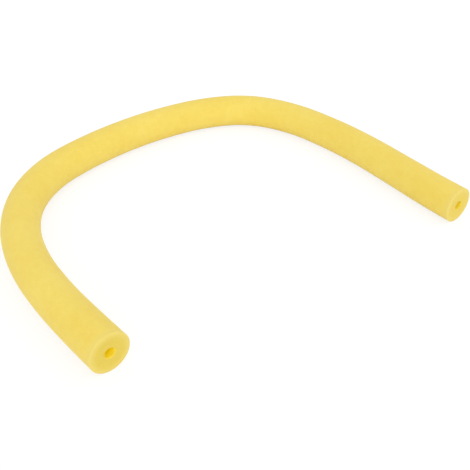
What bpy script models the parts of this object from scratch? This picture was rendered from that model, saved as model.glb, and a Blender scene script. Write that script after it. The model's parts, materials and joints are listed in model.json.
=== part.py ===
"""A pool noodle: one soft foam tube with a bore right through it, lying on the floor in its bend.

The tube is a chain of spans, each a stretch of the same foam. Where two spans meet, one ends in a
ball-shaped face and the other in a cup that turns on it, about an upright axis in the middle of the tube.
Metres, +Z up. The tube lies on z = 0, its two ends point along -Y, and X = Y = 0 is the middle of its box.
"""

import math

import bmesh
import bpy
from mathutils import Matrix, Vector

# The foam tube
OUTER_DIAMETER = 0.065
BORE_DIAMETER = 0.0165
SPAN_LENGTH = 0.0985
RIM_ROUNDING = 0.001
BORE_MOUTH_FLARE = 0.0015

# The spans from the left end to the right end, and how far each turns to the right, in degrees
SPAN_TURNS = {
    "left_end": 2.0,
    "left_arm_front": 5.5,
    "left_arm_middle": 12.0,
    "left_arm_back": 16.0,
    "left_bend_front": 21.0,
    "left_bend_back": 19.5,
    "back_left": 8.0,
    "back_middle": 8.0,
    "back_right": 9.5,
    "right_bend_back": 19.0,
    "right_bend_middle": 36.5,
    "right_bend_front": 19.0,
    "right_arm_back": 7.5,
    "right_arm_middle": 5.5,
    "right_arm_front": 1.0,
    "right_end": -4.5,
}
SPANS = list(SPAN_TURNS)
ROOT_SPAN = "back_middle"

# The ball faces: the furthest that a span swings from where it lies, and the room that it turns in
LARGEST_SWING = math.radians(50)
TURNING_GAP = 0.0003
# The points of a tube's cap lie on those of its last ring, within this
WELD_DISTANCE = 0.00003

# How finely the round shapes are cut
STEPS_PER_SPAN = 5
TUBE_SIDES = 24
BORE_SIDES = 12
BALL_SEGMENTS = 28
BALL_RINGS = 12
RIM_SEGMENTS = 3
RIM_SHARPNESS = math.radians(60)

FOAM_COLOUR = (0.89, 0.68, 0.14, 1.0)
FOAM_ROUGHNESS = 0.85

TUBE_RADIUS = OUTER_DIAMETER / 2
BORE_RADIUS = BORE_DIAMETER / 2
# The widest ball that keeps a cup's rim off the neighbour's skin at the largest swing
BALL_RADIUS = TUBE_RADIUS / math.cos(LARGEST_SWING / 2)
# The middle of a cup's facet still clears a corner of the ball by the turning gap
CUP_RADIUS = (BALL_RADIUS + TURNING_GAP) / math.cos(math.pi / BALL_SEGMENTS)
# Steps of tube beyond a hinge that hold the whole ball face
STEPS_PAST_HINGE = math.ceil(BALL_RADIUS / (SPAN_LENGTH / STEPS_PER_SPAN)) + 1


def clear_scene():
    for obj in list(bpy.data.objects):
        bpy.data.objects.remove(obj)


def new_collection(name):
    collection = bpy.data.collections.new(name)
    bpy.context.scene.collection.children.link(collection)
    return collection


def foam_material():
    material = bpy.data.materials.new("yellow_foam")
    material.use_nodes = True
    shader = material.node_tree.nodes["Principled BSDF"]
    shader.inputs["Base Color"].default_value = FOAM_COLOUR
    shader.inputs["Roughness"].default_value = FOAM_ROUGHNESS
    shader.inputs["Metallic"].default_value = 0.0
    material.diffuse_color = FOAM_COLOUR
    return material


def centreline():
    """Points along the middle of the tube, STEPS_PER_SPAN to a span, and the heading at each."""
    step = SPAN_LENGTH / STEPS_PER_SPAN
    heading = math.radians(sum(SPAN_TURNS.values()) / 2)
    point = Vector((0, 0, TUBE_RADIUS))
    points, headings = [point], [heading]
    for turn in SPAN_TURNS.values():
        step_turn = math.radians(turn) / STEPS_PER_SPAN
        for _ in range(STEPS_PER_SPAN):
            middle = heading - step_turn / 2
            point = point + step * Vector((math.cos(middle), math.sin(middle), 0))
            heading -= step_turn
            points.append(point)
            headings.append(heading)
    return points, headings


def direction(heading):
    return Vector((math.cos(heading), math.sin(heading), 0))


def tube(name, points, radius, sides, widths=None):
    """A closed mesh tube whose flats lie at the radius, with one of them underneath."""
    curve = bpy.data.curves.new(name, "CURVE")
    curve.dimensions = "3D"
    curve.twist_mode = "Z_UP"
    curve.bevel_depth = radius / math.cos(math.pi / sides)
    curve.bevel_resolution = sides // 2 - 2
    curve.use_fill_caps = True
    spline = curve.splines.new("POLY")
    spline.points.add(len(points) - 1)
    for index, (spline_point, point) in enumerate(zip(spline.points, points)):
        spline_point.co = (*point, 1)
        spline_point.tilt = math.pi / sides
        spline_point.radius = widths[index] if widths else 1
    guide = bpy.data.objects.new(name + "_curve", curve)
    bpy.context.scene.collection.objects.link(guide)
    graph = bpy.context.evaluated_depsgraph_get()
    mesh = bpy.data.meshes.new_from_object(guide.evaluated_get(graph))
    mesh.name = name
    edit = bmesh.new()
    edit.from_mesh(mesh)
    bmesh.ops.remove_doubles(edit, verts=edit.verts, dist=WELD_DISTANCE)
    # A cap comes as triangles, whose short edges would hold back the rounding of its rim
    caps = [face for face in edit.faces if len(face.verts) == 3]
    bmesh.ops.dissolve_faces(edit, faces=caps)
    bmesh.ops.recalc_face_normals(edit, faces=edit.faces)
    edit.to_mesh(mesh)
    edit.free()
    obj = bpy.data.objects.new(name, mesh)
    obj.matrix_world = guide.matrix_world
    bpy.data.objects.remove(guide)
    return obj


def as_cutter(obj, cutters):
    cutters.objects.link(obj)
    obj.hide_render = True
    obj.display_type = "WIRE"
    return obj


def cut(obj, cutter):
    boolean = obj.modifiers.new("cut_" + cutter.name, "BOOLEAN")
    boolean.operation = "DIFFERENCE"
    boolean.solver = "EXACT"
    boolean.object = cutter


def ball(name, radius, centre, cutters):
    mesh = bpy.data.meshes.new(name)
    edit = bmesh.new()
    bmesh.ops.create_uvsphere(
        edit, u_segments=BALL_SEGMENTS, v_segments=BALL_RINGS, radius=radius
    )
    edit.to_mesh(mesh)
    edit.free()
    obj = bpy.data.objects.new(name, mesh)
    obj.location = centre
    return as_cutter(obj, cutters)


def block_past_hinge(name, hinge, heading, cutters):
    """A block that starts at the hinge and hides the tube beyond it, less the ball that the tube keeps."""
    side = 2 * (STEPS_PAST_HINGE + 1) * SPAN_LENGTH / STEPS_PER_SPAN
    mesh = bpy.data.meshes.new(name)
    edit = bmesh.new()
    bmesh.ops.create_cube(edit, size=side)
    edit.to_mesh(mesh)
    edit.free()
    obj = bpy.data.objects.new(name, mesh)
    turn = Matrix.Rotation(heading, 4, "Z")
    obj.matrix_world = Matrix.Translation(hinge + direction(heading) * side / 2) @ turn
    as_cutter(obj, cutters)
    cut(obj, ball(name + "_ball", BALL_RADIUS, hinge, cutters))
    return obj


def bore_cutter(name, points, headings, first, last, cutters):
    """The bore of one span. At an end of the whole tube it flares out through the cut face."""
    route = points[first:last + 1]
    widths = [1.0] * len(route)
    flared = 1 + 2 * BORE_MOUTH_FLARE / BORE_RADIUS
    if first == 0:
        outwards = -direction(headings[0]) * BORE_MOUTH_FLARE
        route = [route[0] + outwards, route[0] - outwards] + route[1:]
        widths = [flared, 1.0] + widths[1:]
    if last == len(points) - 1:
        outwards = direction(headings[-1]) * BORE_MOUTH_FLARE
        route = route[:-1] + [route[-1] - outwards, route[-1] + outwards]
        widths = widths[:-1] + [1.0, flared]
    return as_cutter(tube(name, route, BORE_RADIUS, BORE_SIDES, widths), cutters)


def round_rims(obj):
    bevel = obj.modifiers.new("rounded_rims", "BEVEL")
    bevel.width = RIM_ROUNDING
    bevel.segments = RIM_SEGMENTS
    bevel.limit_method = "ANGLE"
    bevel.angle_limit = RIM_SHARPNESS


def make_span(index, points, headings, foam, noodle, cutters):
    """One stretch of tube: a cup at its start and a ball face at its end, but for the tube's own two ends."""
    name = SPANS[index]
    last_point = len(points) - 1
    start = index * STEPS_PER_SPAN
    end = start + STEPS_PER_SPAN
    beyond = min(end + STEPS_PAST_HINGE, last_point)
    span = tube(name, points[start:beyond + 1], TUBE_RADIUS, TUBE_SIDES)
    noodle.objects.link(span)
    span.data.materials.clear()
    span.data.materials.append(foam)
    if start == 0 or end == last_point:
        round_rims(span)
    before = max(start - 1, 0)
    past_bore = min(beyond + 1, last_point)
    cut(span, bore_cutter(name + "_bore", points, headings, before, past_bore, cutters))
    if end < last_point:
        block = block_past_hinge(name + "_block", points[end], headings[end], cutters)
        cut(span, block)
    if start > 0:
        cut(span, ball(name + "_cup", CUP_RADIUS, points[start], cutters))
    span.data.shade_smooth()
    span.data.set_sharp_from_angle(angle=RIM_SHARPNESS / 2)
    return span


def hang_on_hinges(spans, points, middle):
    """Puts each span's origin on the hinge towards the root span, and parents it there."""
    root = SPANS.index(ROOT_SPAN)
    origins = []
    for index in range(len(SPANS)):
        if index == root:
            origins.append(middle)
        else:
            hinge = index if index > root else index + 1
            origins.append(points[hinge * STEPS_PER_SPAN])
    for index, span in enumerate(spans):
        span.data.transform(Matrix.Translation(-origins[index]))
        if index == root:
            span.location = (0, 0, 0)
            continue
        towards_root = index - 1 if index > root else index + 1
        span.parent = spans[towards_root]
        span.location = origins[index] - origins[towards_root]


def outline_middle(points, headings):
    """The middle of the tube's own box, on the floor."""
    skin = []
    for point, heading in zip(points, headings):
        across = direction(heading + math.pi / 2) * TUBE_RADIUS
        skin += [point + across, point - across]
    low = Vector(min(p[axis] for p in skin) for axis in range(3))
    high = Vector(max(p[axis] for p in skin) for axis in range(3))
    middle = (low + high) / 2
    middle.z = 0
    return middle


def main():
    clear_scene()
    noodle = new_collection("pool_noodle")
    cutters = new_collection("cutters")
    foam = foam_material()
    points, headings = centreline()
    middle = outline_middle(points, headings)
    points = [point - middle for point in points]
    spans = [
        make_span(index, points, headings, foam, noodle, cutters)
        for index in range(len(SPANS))
    ]
    hang_on_hinges(spans, points, Vector((0, 0, 0)))


main()
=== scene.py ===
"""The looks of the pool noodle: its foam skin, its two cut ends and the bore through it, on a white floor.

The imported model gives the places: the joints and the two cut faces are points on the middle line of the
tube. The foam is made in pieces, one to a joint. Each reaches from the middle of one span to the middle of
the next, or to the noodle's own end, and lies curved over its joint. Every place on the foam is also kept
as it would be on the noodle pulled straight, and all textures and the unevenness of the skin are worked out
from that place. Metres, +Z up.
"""

import json
import math
from collections import namedtuple

import bmesh
import bpy
from mathutils import Euler, Matrix, Vector, noise

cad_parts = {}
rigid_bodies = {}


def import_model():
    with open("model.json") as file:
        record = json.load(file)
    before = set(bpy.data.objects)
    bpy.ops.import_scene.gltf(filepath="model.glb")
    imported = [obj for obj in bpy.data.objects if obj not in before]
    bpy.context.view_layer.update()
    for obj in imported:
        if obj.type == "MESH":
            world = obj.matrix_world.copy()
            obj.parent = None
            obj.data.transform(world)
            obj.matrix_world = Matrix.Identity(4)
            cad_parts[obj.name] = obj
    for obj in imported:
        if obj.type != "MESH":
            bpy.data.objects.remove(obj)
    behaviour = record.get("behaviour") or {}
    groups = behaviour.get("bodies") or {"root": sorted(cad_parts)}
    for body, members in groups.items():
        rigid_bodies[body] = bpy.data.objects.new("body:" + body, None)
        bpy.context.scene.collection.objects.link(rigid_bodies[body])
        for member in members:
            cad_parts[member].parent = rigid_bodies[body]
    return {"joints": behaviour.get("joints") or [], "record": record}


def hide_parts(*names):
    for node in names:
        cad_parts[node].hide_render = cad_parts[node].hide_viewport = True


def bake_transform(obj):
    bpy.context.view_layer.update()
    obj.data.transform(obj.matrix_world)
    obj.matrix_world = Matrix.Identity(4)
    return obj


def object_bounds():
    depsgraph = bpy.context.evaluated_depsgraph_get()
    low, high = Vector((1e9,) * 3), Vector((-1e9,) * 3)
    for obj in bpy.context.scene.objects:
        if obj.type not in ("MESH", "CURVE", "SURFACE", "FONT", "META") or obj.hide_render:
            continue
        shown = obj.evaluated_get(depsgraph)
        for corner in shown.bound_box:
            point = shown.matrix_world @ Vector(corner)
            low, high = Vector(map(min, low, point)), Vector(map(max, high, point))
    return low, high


# The foam tube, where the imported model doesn't say
BORE_RADIUS = 0.00825
BORE_MOUTH_ROUNDING = 0.0015
# The rim is rounded further in over the cut face than it is along the skin
RIM_ROUNDING = 0.0012
RIM_CROWN = 0.0040

# The two cuts. Face is how much of the cut's darker colour a cut face shows, and mouth and deep are how much
# of the bore's painted glow shows at its mouth and deep in. Slant is how far the face rises towards the
# noodle's inner side, per length across. The right end was cut cleaner than the left one, but not quite
# square.
LEFT_CUT = {"face": 1.0, "mouth": 0.55, "deep": 1.0, "slant": 0.0}
RIGHT_CUT = {"face": 0.7, "mouth": 0.40, "deep": 0.80, "slant": 0.0558}
# The length of tube that takes up the slant
SLANT_REACH = 0.05
# How far from the rim's edge its painted highlight, a paler colour, reaches
RIM_HIGHLIGHT_REACH = 0.013
# How deep in the bore its painted glow stops changing
BORE_FULL_DEPTH = 0.012

# How finely the foam is cut
TUBE_SIDES = 64
RING_SPACING = 0.0025
RIM_STEPS = 12
MOUTH_STEPS = 4
CUT_FACE_RINGS = 8
# The narrow strip of foam along a seam between two pieces
SEAM_STRIP = 0.0003
# A sharper edge than this isn't smoothed over
SHARP_EDGE = math.radians(60)

# The unevenness of the surface: the size of its swells and how deep they go, from broad to fine
SWELLS = ((0.045, 0.00018), (0.014, 0.00010), (0.005, 0.00005))
# How far apart in the noise the swells of each size are read, in sizes, so that they don't line up
SWELL_SHIFT = 7.3
# The share of its depth that a swell has where the noise is 0, and how strongly the noise changes it
SWELL_MIDDLE = 0.5
SWELL_CONTRAST = 0.8

# The foam's colours: deep and pale in the mottle, and the walls of its cells, on the skin and on a cut face
SKIN_DEEP = (0.885, 0.655, 0.095, 1)
SKIN_PALE = (0.920, 0.715, 0.138, 1)
SKIN_WALL = (0.935, 0.760, 0.190, 1)
CUT_DEEP = (0.770, 0.568, 0.062, 1)
CUT_PALE = (0.805, 0.608, 0.082, 1)
CUT_WALL = (0.845, 0.655, 0.105, 1)
# A painted highlight: the paler colour laid along the rounded rim
RIM_PAINTED_HIGHLIGHT = (0.880, 0.695, 0.165, 1)
# A painted glow: the bore's brighter, deeper yellow stands in for light that comes through the foam
BORE_PAINTED_GLOW_BASE = (0.990, 0.820, 0.006, 1)
# A painted glow in the bore, its own faint light, which stands in for the daylight that comes through the
# foam
BORE_GLOW = (0.95, 0.71, 0.0, 1)
GLOW_STRENGTH = 0.078

# The size of what the foam shows, and how many finer layers each mottle has
BROAD_MOTTLE = 0.090
BROAD_LAYERS = 2.0
FINE_MOTTLE = 0.012
FINE_LAYERS = 3.0
SKIN_CELL = 0.0013
OPEN_CELL = 0.0009
# The broad mottle's share of the two, and the values between which the colour goes from deep to pale
BROAD_SHARE = 0.5
TONE_RANGE = (0.36, 0.64)
# How far from a cell's middle its wall starts to show and shows in full, in cells
SKIN_WALL_RANGE = (0.45, 0.85)
OPEN_WALL_RANGE = (0.30, 0.80)
# How much of the wall's colour shows on the skin at most
SKIN_WALL_SHARE = 0.45

# How rough the foam is at the two ends of a range of the fine mottle, and how it shines
ROUGHNESS = (0.62, 0.78)
ROUGHNESS_RANGE = (0.3, 0.7)
SPECULAR = 0.35
SHEEN = 0.10
SHEEN_ROUGHNESS = 0.5
# The relief of the skin's cells, of a cut face's open cells and of the fine mottle: how strong and how deep
SKIN_RELIEF = (0.25, 0.0003)
OPEN_RELIEF = (0.35, 0.0004)
MOTTLE_RELIEF = (0.35, 0.0006)

# The camera, as the photograph's outline gives it
PHOTO_WIDTH_PX = 470
FOCAL_LENGTH_PX = 700
SENSOR_WIDTH_MM = 36
CAMERA_PLACE = (-0.6581, -0.8618, 0.6916)
CAMERA_HEADING = math.radians(-40.32)
CAMERA_TILT = math.radians(90 - 34.768)
CAMERA_ROLL = math.radians(1.043)

WHITE = (1, 1, 1, 1)
# The white sky: how strongly it lights the noodle, and how bright it is where it is seen
SKY_STRENGTH = 0.80
BACKDROP_STRENGTH = 1.0
# Two wide, soft lamps: their strength, and in degrees their width, tilt from straight above and heading
LAMPS = {
    "key": (0.59, 50, 65, -40),
    "fill": (0.34, 60, 30, 52),
}

FLOOR_REACH = 6.0
FLOOR_WHITE = 0.95
# Where the floor is seen, only this share of the light on it shows and the rest is a glow of its own, so that
# the noodle's shadow is soft and faint
FLOOR_LIT_SHARE = 0.25
FLOOR_GLOW = 0.79

# The sockets of a shader node that mixes two colours
MIX_SHARE = 0
MIX_FIRST = 6
MIX_SECOND = 7
MIX_RESULT = 2

# A point of a piece's outline as it would be straight: its place, the way that the surface faces there, and
# its marks. Cut is 1 on a cut face and 0 on the skin, and bore is 1 in the bore.
OutlinePoint = namedtuple("OutlinePoint", "along out normal_along normal_out cut bore")


def lerp(a, b, share):
    return a + (b - a) * share


def clamp(share):
    return min(max(share, 0), 1)


def smooth(share):
    """Goes softly from 0 to 1 as the share does, and no further."""
    share = clamp(share)
    return share * share * (3 - 2 * share)


def direction(heading):
    return Vector((math.cos(heading), math.sin(heading), 0))


def grey(share):
    return (share, share, share, 1)


class MiddleLine:
    """The middle line of the tube, as arcs from joint to joint, measured along the noodle pulled straight."""

    def __init__(self, points, heading):
        self.points = points
        self.headings = [heading]
        self.turns = []
        for start, end in zip(points, points[1:]):
            chord = end - start
            turn = 2 * (self.headings[-1] - math.atan2(chord.y, chord.x))
            turn = math.remainder(turn, 2 * math.pi)
            self.turns.append(turn)
            self.headings.append(self.headings[-1] - turn)
        arcs = [
            (end - start).length * (turn / 2) / math.sin(turn / 2)
            for start, end, turn in zip(points, points[1:], self.turns)
        ]
        self.spans = len(arcs)
        self.span = sum(arcs) / self.spans
        self.length = sum(arcs)

    def at(self, along):
        """The point of the middle line there, and its heading."""
        index = min(max(int(along / self.span), 0), self.spans - 1)
        share = along / self.span - index
        start, end = self.points[index], self.points[index + 1]
        half_turn = self.turns[index] / 2
        chord = (end - start).length * math.sin(share * half_turn) / math.sin(half_turn)
        heading = self.headings[index]
        return start + chord * direction(heading - share * half_turn), heading - 2 * share * half_turn


def bodies_in_order(joints, first):
    """The noodle's joints from one end to the other, each with the bodies before and after it."""
    ordered, left, before = [], list(joints), first
    while left:
        joint = next(j for j in left if before in (j["parent"], j["child"]))
        left.remove(joint)
        after = joint["child"] if joint["parent"] == before else joint["parent"]
        ordered.append((before, after, Vector(joint["pos_m"])))
        before = after
    return ordered


def ring_places(start, end, start_cut, end_cut):
    """Where along the noodle a piece has the rings of its skin and of its bore."""
    low = start + (RIM_ROUNDING if start_cut else SEAM_STRIP)
    high = end - (RIM_ROUNDING if end_cut else SEAM_STRIP)
    count = round((high - low) / RING_SPACING)
    inner = [lerp(low, high, index / count) for index in range(count + 1)]
    return ([] if start_cut else [start]) + inner + ([] if end_cut else [end])


def cut_end(along, way, radius):
    """The rounded rim, the cut face and the rounded mouth of the bore, from the skin inwards. Way is 1 for a
    face that looks along the noodle, and -1 for one that looks back."""
    points = []
    for step in range(1, RIM_STEPS + 1):
        angle = math.pi / 2 * step / RIM_STEPS
        out = radius - RIM_CROWN * (1 - math.cos(angle))
        here = along - way * RIM_ROUNDING * (1 - math.sin(angle))
        cut = smooth(step / RIM_STEPS)
        points.append(OutlinePoint(here, out, way * math.sin(angle), math.cos(angle), cut, 0))
    mouth = BORE_RADIUS + BORE_MOUTH_ROUNDING
    for ring in range(1, CUT_FACE_RINGS):
        out = lerp(radius - RIM_CROWN, mouth, ring / CUT_FACE_RINGS)
        points.append(OutlinePoint(along, out, way, 0, 1, 0))
    for step in range(MOUTH_STEPS):
        angle = math.pi / 2 * step / MOUTH_STEPS
        out = mouth - BORE_MOUTH_ROUNDING * math.sin(angle)
        here = along - way * BORE_MOUTH_ROUNDING * (1 - math.cos(angle))
        bore = step / MOUTH_STEPS
        points.append(OutlinePoint(here, out, way * math.cos(angle), -math.sin(angle), 1 - bore, bore))
    return points


def surface_outline(start, end, radius, start_cut, end_cut):
    """The closed outline of one piece, from the middle line out."""
    places = ring_places(start, end, start_cut, end_cut)
    skin = [OutlinePoint(along, radius, 0, 1, 0, 0) for along in places]
    bore = [OutlinePoint(along, BORE_RADIUS, 0, -1, 0, 1) for along in reversed(places)]
    end_face = cut_end(end, 1, radius) if end_cut else []
    start_face = cut_end(start, -1, radius) if start_cut else []
    return skin + end_face + bore + start_face[::-1]


def sunk(place):
    """How far the surface lies below its full size there: a soft unevenness that is never proud."""
    depth = 0.0
    for index, (size, deep) in enumerate(SWELLS):
        shifted = place / size + Vector((0, 0, SWELL_SHIFT * index))
        depth += deep * clamp(SWELL_MIDDLE + SWELL_CONTRAST * noise.noise(shifted))
    return depth


def rim_highlight(from_end, from_skin):
    """How much painted highlight the rim has there, from its distance to the cut face's plane and to the
    skin.
    """
    return smooth(1 - math.hypot(from_end, from_skin) / RIM_HIGHLIGHT_REACH)


def foam_ring(edit, layers, line, radius, near_cut, point):
    """The ring of foam that one point of the outline makes, round the bent noodle's middle line."""
    from_end = min(point.along, line.length - point.along)
    # The rim mark carries the painted highlight along the rim
    marks = {"cut": point.cut, "bore": point.bore, "rim": rim_highlight(from_end, radius - point.out)}
    slant = 0
    if near_cut:
        # The bore's painted glow, from its mouth to deep in
        bore_glow_share = lerp(near_cut["mouth"], near_cut["deep"], smooth(from_end / BORE_FULL_DEPTH))
        marks["cut"] *= near_cut["face"]
        marks["bore"] *= bore_glow_share
        slant = near_cut["slant"] * smooth(1 - from_end / SLANT_REACH)
    ring = []
    for side in range(TUBE_SIDES):
        angle = 2 * math.pi * side / TUBE_SIDES
        slanted = point.along + slant * (radius - RIM_CROWN - point.out * math.cos(angle))
        place = Vector((slanted, point.out * math.cos(angle), point.out * math.sin(angle)))
        depth = sunk(place)
        here, heading = line.at(slanted - depth * point.normal_along)
        reach = point.out - depth * point.normal_out
        across = direction(heading + math.pi / 2) * math.cos(angle) + Vector((0, 0, math.sin(angle)))
        vert = edit.verts.new(here + across * reach)
        vert[layers["place"]] = place
        for mark, share in marks.items():
            vert[layers[mark]] = share
        ring.append(vert)
    return ring


def foam_piece(name, line, start, end, radius, start_cut, end_cut):
    """The foam from start to end along the noodle, as it lies in its bend."""
    edit = bmesh.new()
    layers = {"place": edit.verts.layers.float_vector.new("place")}
    for mark in ("cut", "bore", "rim"):
        layers[mark] = edit.verts.layers.float.new(mark)
    rings = [
        foam_ring(edit, layers, line, radius, start_cut or end_cut, point)
        for point in surface_outline(start, end, radius, start_cut, end_cut)
    ]
    for ring, following in zip(rings, rings[1:] + rings[:1]):
        for side in range(TUBE_SIDES):
            beside = (side + 1) % TUBE_SIDES
            edit.faces.new((ring[side], following[side], following[beside], ring[beside]))
    bmesh.ops.recalc_face_normals(edit, faces=edit.faces)
    mesh = bpy.data.meshes.new(name)
    edit.to_mesh(mesh)
    edit.free()
    mesh.shade_smooth()
    mesh.set_sharp_from_angle(angle=SHARP_EDGE)
    piece = bpy.data.objects.new(name, mesh)
    bpy.context.scene.collection.objects.link(piece)
    return piece


def bend_limits(line, hinge, radius):
    """Two points along the chord over a joint, where its foam would start and end to bend: as far apart as
    leaves the rings at both ends of its stretch, and the strips beside them, wholly to one span each."""
    start, start_heading = line.at(hinge - line.span / 2)
    end, end_heading = line.at(hinge + line.span / 2)
    heading = math.atan2(end.y - start.y, end.x - start.x)
    start_room = radius * abs(math.sin(start_heading - heading)) + 2 * SEAM_STRIP
    end_room = radius * abs(math.sin(end_heading - heading)) + 2 * SEAM_STRIP
    return start + direction(heading) * start_room, end - direction(heading) * end_room


def make_noodle(frame, radius):
    """The foam over each joint, each piece from the middle of one span to the middle of the next."""
    mounts = {mount["name"]: mount for mount in frame["record"]["mounts"]}
    ends = []
    for name in ("left_cut_face", "right_cut_face"):
        x, y, _ = mounts[name]["pos_m"]
        ends.append(Vector((x, y, radius)))
    outwards = mounts["left_cut_face"]["axis"]
    joints = bodies_in_order(frame["joints"], "left_end")
    points = [ends[0]] + [point for _, _, point in joints] + [ends[1]]
    line = MiddleLine(points, math.atan2(-outwards[1], -outwards[0]))
    nodes_of = frame["record"]["behaviour"]["bodies"]
    foam = foam_material()
    for index, (before, after, _) in enumerate(joints):
        hinge = (index + 1) * line.span
        start_cut = LEFT_CUT if index == 0 else None
        end_cut = RIGHT_CUT if index == len(joints) - 1 else None
        start = 0 if start_cut else hinge - line.span / 2
        end = line.length if end_cut else hinge + line.span / 2
        piece = foam_piece(f"foam_{before}_to_{after}", line, start, end, radius, start_cut, end_cut)
        piece.data.materials.append(foam)
        bend_start, bend_end = bend_limits(line, hinge, radius)
        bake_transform(piece)
        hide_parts(*nodes_of[before], *nodes_of[after])


class Nodes:
    """Adds shader nodes to a tree and joins them up."""

    def __init__(self, tree):
        self.tree = tree

    def put(self, value, socket):
        """Joins the socket to the one given, or sets it to the value."""
        if isinstance(value, bpy.types.NodeSocket):
            self.tree.links.new(value, socket)
        else:
            socket.default_value = value

    def add(self, kind, settings=None, **inputs):
        """A node with its inputs given by name."""
        node = self.tree.nodes.new(kind)
        for key, value in (settings or {}).items():
            setattr(node, key, value)
        for key, value in inputs.items():
            self.put(value, node.inputs[key.replace("_", " ")])
        return node

    def in_order(self, kind, *values, settings=None):
        """The first result of a node with its inputs given in their order."""
        node = self.add(kind, settings)
        for value, socket in zip(values, node.inputs):
            self.put(value, socket)
        return node.outputs[0]

    def calc(self, operation, *values):
        return self.in_order("ShaderNodeMath", *values, settings={"operation": operation})

    def attribute(self, name, result):
        return self.add("ShaderNodeAttribute", {"attribute_name": name}).outputs[result]

    def mottle(self, place, size, layers):
        return self.add("ShaderNodeTexNoise", Vector=place, Scale=1 / size, Detail=layers).outputs["Fac"]

    def cells(self, place, size):
        """The distance to the middle of the cell there, in cells."""
        return self.add("ShaderNodeTexVoronoi", Vector=place, Scale=1 / size).outputs["Distance"]

    def ranged(self, value, low, high, to_low=0.0, to_high=1.0):
        node = self.add(
            "ShaderNodeMapRange", Value=value, From_Min=low, From_Max=high, To_Min=to_low, To_Max=to_high
        )
        return node.outputs["Result"]

    def mix(self, share, first, second):
        """The two colours mixed, the second by that share."""
        node = self.add("ShaderNodeMix", {"data_type": "RGBA"})
        self.put(share, node.inputs[MIX_SHARE])
        self.put(first, node.inputs[MIX_FIRST])
        self.put(second, node.inputs[MIX_SECOND])
        return node.outputs[MIX_RESULT]

    def relief(self, height, strength, depth, **others):
        """The way that the surface faces once it has that relief."""
        node = self.add("ShaderNodeBump", Strength=strength, Distance=depth, Height=height, **others)
        return node.outputs["Normal"]


def foam_material():
    material = bpy.data.materials.new("closed_cell_foam")
    material.use_nodes = True
    shader = material.node_tree.nodes["Principled BSDF"]
    nodes = Nodes(material.node_tree)

    place = nodes.attribute("place", "Vector")
    cut = nodes.attribute("cut", "Fac")
    bore = nodes.attribute("bore", "Fac")
    rim = nodes.attribute("rim", "Fac")
    broad = nodes.mottle(place, BROAD_MOTTLE, BROAD_LAYERS)
    fine = nodes.mottle(place, FINE_MOTTLE, FINE_LAYERS)
    skin_cells = nodes.cells(place, SKIN_CELL)
    open_cells = nodes.cells(place, OPEN_CELL)

    fine_share = nodes.calc("MULTIPLY", fine, 1 - BROAD_SHARE)
    tone = nodes.ranged(nodes.calc("MULTIPLY_ADD", broad, BROAD_SHARE, fine_share), *TONE_RANGE)
    skin_wall = nodes.ranged(skin_cells, *SKIN_WALL_RANGE, 0.0, SKIN_WALL_SHARE)
    skin = nodes.mix(skin_wall, nodes.mix(tone, SKIN_DEEP, SKIN_PALE), SKIN_WALL)
    open_wall = nodes.ranged(open_cells, *OPEN_WALL_RANGE)
    opened = nodes.mix(open_wall, nodes.mix(tone, CUT_DEEP, CUT_PALE), CUT_WALL)
    colour = nodes.mix(cut, skin, opened)
    # Painted highlight along the rim
    colour = nodes.mix(rim, colour, RIM_PAINTED_HIGHLIGHT)
    # Painted glow in the bore
    colour = nodes.mix(bore, colour, BORE_PAINTED_GLOW_BASE)
    nodes.put(colour, shader.inputs["Base Color"])

    nodes.put(nodes.ranged(fine, *ROUGHNESS_RANGE, *ROUGHNESS), shader.inputs["Roughness"])
    nodes.put(SPECULAR, shader.inputs["Specular IOR Level"])
    nodes.put(SHEEN, shader.inputs["Sheen Weight"])
    nodes.put(SHEEN_ROUGHNESS, shader.inputs["Sheen Roughness"])

    # The bore's painted glow is too faint to light anything else, so it isn't sampled as a lamp
    nodes.put(BORE_GLOW, shader.inputs["Emission Color"])
    nodes.put(nodes.ranged(bore, 0.0, 1.0, 0.0, GLOW_STRENGTH), shader.inputs["Emission Strength"])
    material.cycles.emission_sampling = "NONE"

    skin_strength, skin_depth = SKIN_RELIEF
    open_strength, open_depth = OPEN_RELIEF
    mottle_strength, mottle_depth = MOTTLE_RELIEF
    skin_bump = nodes.relief(skin_cells, skin_strength, skin_depth, settings={"invert": True})
    opened_strength = nodes.ranged(cut, 0.0, 1.0, 0.0, open_strength)
    open_bump = nodes.relief(open_cells, opened_strength, open_depth, Normal=skin_bump)
    mottle_bump = nodes.relief(fine, mottle_strength, mottle_depth, Normal=open_bump)
    nodes.put(mottle_bump, shader.inputs["Normal"])
    return material


def seen_directly(nodes):
    """1 for what the camera sees, also in a reflection or through glass, and 0 for all other light."""
    path = nodes.add("ShaderNodeLightPath")
    seen = nodes.calc("MAXIMUM", path.outputs["Is Camera Ray"], path.outputs["Is Glossy Ray"])
    return nodes.calc("MAXIMUM", seen, path.outputs["Is Transmission Ray"])


def floor_material():
    """White to the camera but for the noodle's shadow, and a plain white floor to all other light."""
    material = bpy.data.materials.new("white_floor")
    material.use_nodes = True
    tree = material.node_tree
    tree.nodes.remove(tree.nodes["Principled BSDF"])
    nodes = Nodes(tree)
    plain = nodes.add("ShaderNodeBsdfDiffuse", Color=grey(FLOOR_WHITE)).outputs["BSDF"]
    shaded = nodes.add("ShaderNodeBsdfDiffuse", Color=grey(FLOOR_LIT_SHARE)).outputs["BSDF"]
    glow = nodes.add("ShaderNodeEmission", Color=WHITE, Strength=FLOOR_GLOW).outputs["Emission"]
    lit = nodes.in_order("ShaderNodeAddShader", shaded, glow)
    choice = nodes.in_order("ShaderNodeMixShader", seen_directly(nodes), plain, lit)
    nodes.put(choice, tree.nodes["Material Output"].inputs["Surface"])
    return material


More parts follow.
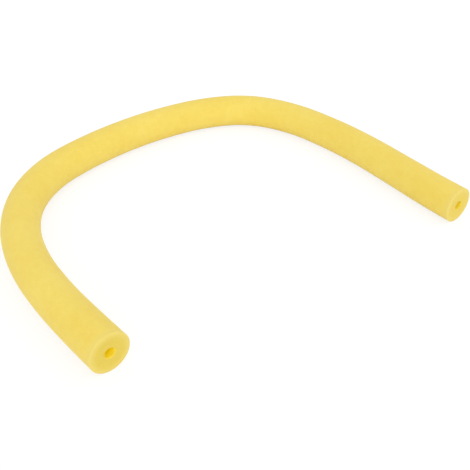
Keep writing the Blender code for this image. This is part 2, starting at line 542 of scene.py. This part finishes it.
def make_floor():
    mesh = bpy.data.meshes.new("floor")
    edit = bmesh.new()
    bmesh.ops.create_grid(edit, x_segments=1, y_segments=1, size=FLOOR_REACH)
    edit.to_mesh(mesh)
    edit.free()
    mesh.materials.append(floor_material())
    floor = bpy.data.objects.new("floor", mesh)
    bpy.context.scene.collection.objects.link(floor)


def make_sky():
    world = bpy.data.worlds.new("white_room")
    world.use_nodes = True
    tree = world.node_tree
    nodes = Nodes(tree)
    sky = tree.nodes["Background"]
    nodes.put(WHITE, sky.inputs["Color"])
    nodes.put(SKY_STRENGTH, sky.inputs["Strength"])
    backdrop = nodes.add("ShaderNodeBackground", Color=WHITE, Strength=BACKDROP_STRENGTH)
    choice = nodes.in_order(
        "ShaderNodeMixShader", seen_directly(nodes), sky.outputs["Background"], backdrop.outputs["Background"]
    )
    nodes.put(choice, tree.nodes["World Output"].inputs["Surface"])
    bpy.context.scene.world = world


def make_lamps():
    for name, (strength, width, tilt, heading) in LAMPS.items():
        sun = bpy.data.lights.new(name, "SUN")
        sun.energy = strength
        sun.angle = math.radians(width)
        lamp = bpy.data.objects.new(name, sun)
        lamp.rotation_euler = (math.radians(tilt), 0, math.radians(heading))
        bpy.context.scene.collection.objects.link(lamp)


def make_camera():
    data = bpy.data.cameras.new("camera")
    data.sensor_width = SENSOR_WIDTH_MM
    data.lens = SENSOR_WIDTH_MM * FOCAL_LENGTH_PX / PHOTO_WIDTH_PX
    camera = bpy.data.objects.new("camera", data)
    turned = Euler((CAMERA_TILT, 0, CAMERA_HEADING)).to_matrix() @ Matrix.Rotation(CAMERA_ROLL, 3, "Z")
    camera.matrix_world = Matrix.LocRotScale(Vector(CAMERA_PLACE), turned, None)
    bpy.context.scene.collection.objects.link(camera)
    bpy.context.scene.camera = camera


def main():
    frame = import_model()
    cad_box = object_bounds()
    bpy.context.scene.view_settings.view_transform = "Standard"
    make_camera()
    make_sky()
    make_lamps()
    make_floor()
    make_noodle(frame, cad_box[1].z / 2)


main()
